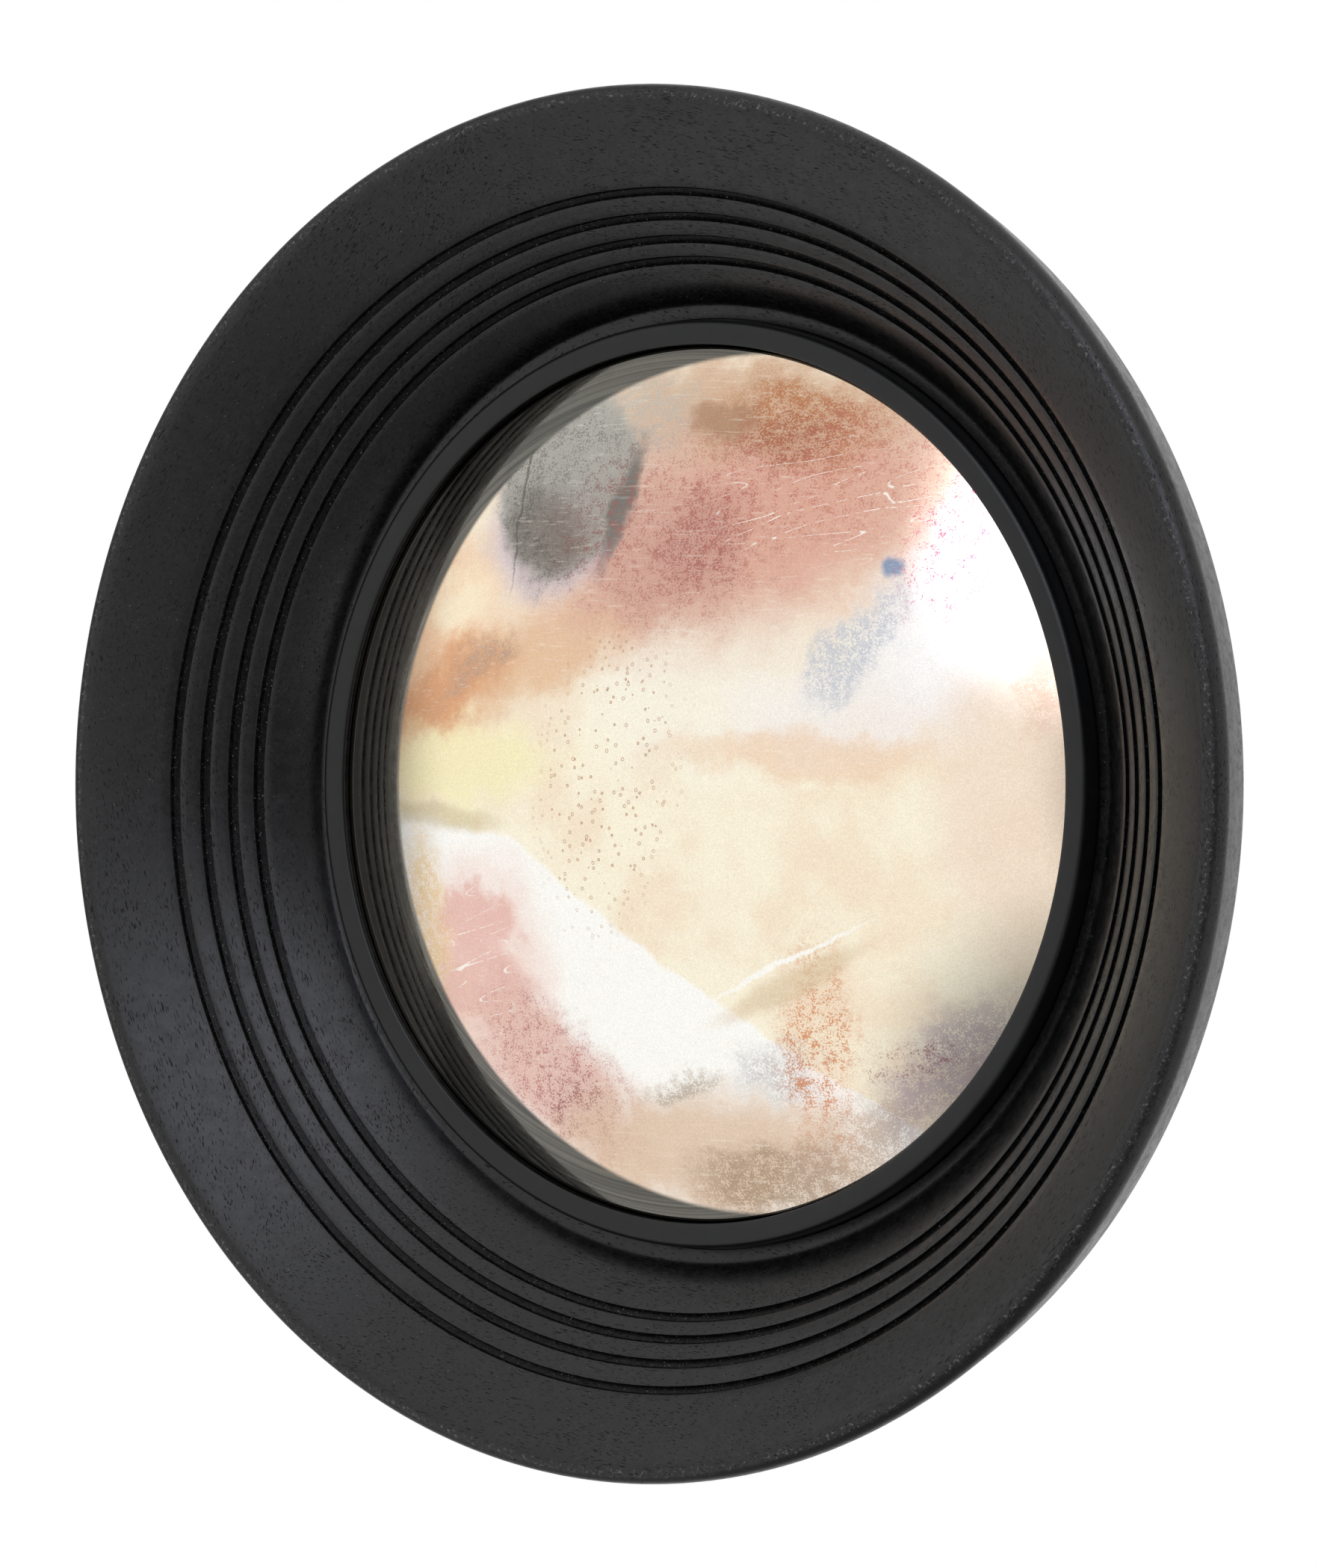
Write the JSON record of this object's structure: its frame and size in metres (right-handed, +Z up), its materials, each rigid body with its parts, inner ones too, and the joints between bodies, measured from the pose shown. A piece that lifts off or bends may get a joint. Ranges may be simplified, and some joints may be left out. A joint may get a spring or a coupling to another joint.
{
  "type": "convex wall mirror",
  "caption": "Round convex wall mirror in a turned, ebonised wood dish frame with fine turned grooves; the back board is held by turn buttons.",
  "frame": {"origin": "centre of the mirror's axis on the wall plane, the plane of the foot ring's back face", "axes": "+Z up, +X to the right seen from the front, +Y into the wall; the mirror faces -Y and its axis is Y"},
  "size_m": [0.3996, 0.052, 0.3996],
  "materials": {
    "ebonised_wood": "turned wood, open pores, satin black lacquer",
    "satin_slip": "smooth turned wood, satin black lacquer",
    "antiqued_mirror": "convex glass, silvered on the back and antiqued with foxing",
    "felt": "thin black felt tape",
    "felt_ring": "grey felt ring",
    "hardboard": "smooth brown hardboard",
    "button_brass": "stamped brass, lightly brushed",
    "steel": "zinc plated",
    "zinc_plate": "stamped, zinc plated"
  },
  "bodies": {
    "root": {"turned_frame": "ebonised_wood", "slip_ring": "satin_slip", "slip_brads": "steel", "glass_seat_tape": "felt", "convex_glass": "antiqued_mirror", "foam_ring": "felt_ring", "back_board": "hardboard", "turn_button_screws": "steel", "keyhole_plate": "zinc_plate", "keyhole_screws": "steel"},
    "turn_button_1": {"turn_button_1": "button_brass"},
    "turn_button_2": {"turn_button_2": "button_brass"},
    "turn_button_3": {"turn_button_3": "button_brass"},
    "turn_button_4": {"turn_button_4": "button_brass"},
    "turn_button_5": {"turn_button_5": "button_brass"},
    "turn_button_6": {"turn_button_6": "button_brass"}
  },
  "joints": [
    {"name": "turn_button_1_turn", "type": "hinge", "parent": "root", "child": "turn_button_1", "pos_m": [0.1445, -0.00465, 0], "axis": [0, 1, 0], "range_deg": [-90, 90]},
    {"name": "turn_button_2_turn", "type": "hinge", "parent": "root", "child": "turn_button_2", "pos_m": [0.07225, -0.00465, 0.12514], "axis": [0, 1, 0], "range_deg": [-90, 90]},
    {"name": "turn_button_3_turn", "type": "hinge", "parent": "root", "child": "turn_button_3", "pos_m": [-0.07225, -0.00465, 0.12514], "axis": [0, 1, 0], "range_deg": [-90, 90]},
    {"name": "turn_button_4_turn", "type": "hinge", "parent": "root", "child": "turn_button_4", "pos_m": [-0.1445, -0.00465, 0], "axis": [0, 1, 0], "range_deg": [-90, 90]},
    {"name": "turn_button_5_turn", "type": "hinge", "parent": "root", "child": "turn_button_5", "pos_m": [-0.07225, -0.00465, -0.12514], "axis": [0, 1, 0], "range_deg": [-90, 90]},
    {"name": "turn_button_6_turn", "type": "hinge", "parent": "root", "child": "turn_button_6", "pos_m": [0.07225, -0.00465, -0.12514], "axis": [0, 1, 0], "range_deg": [-90, 90]}
  ]
}
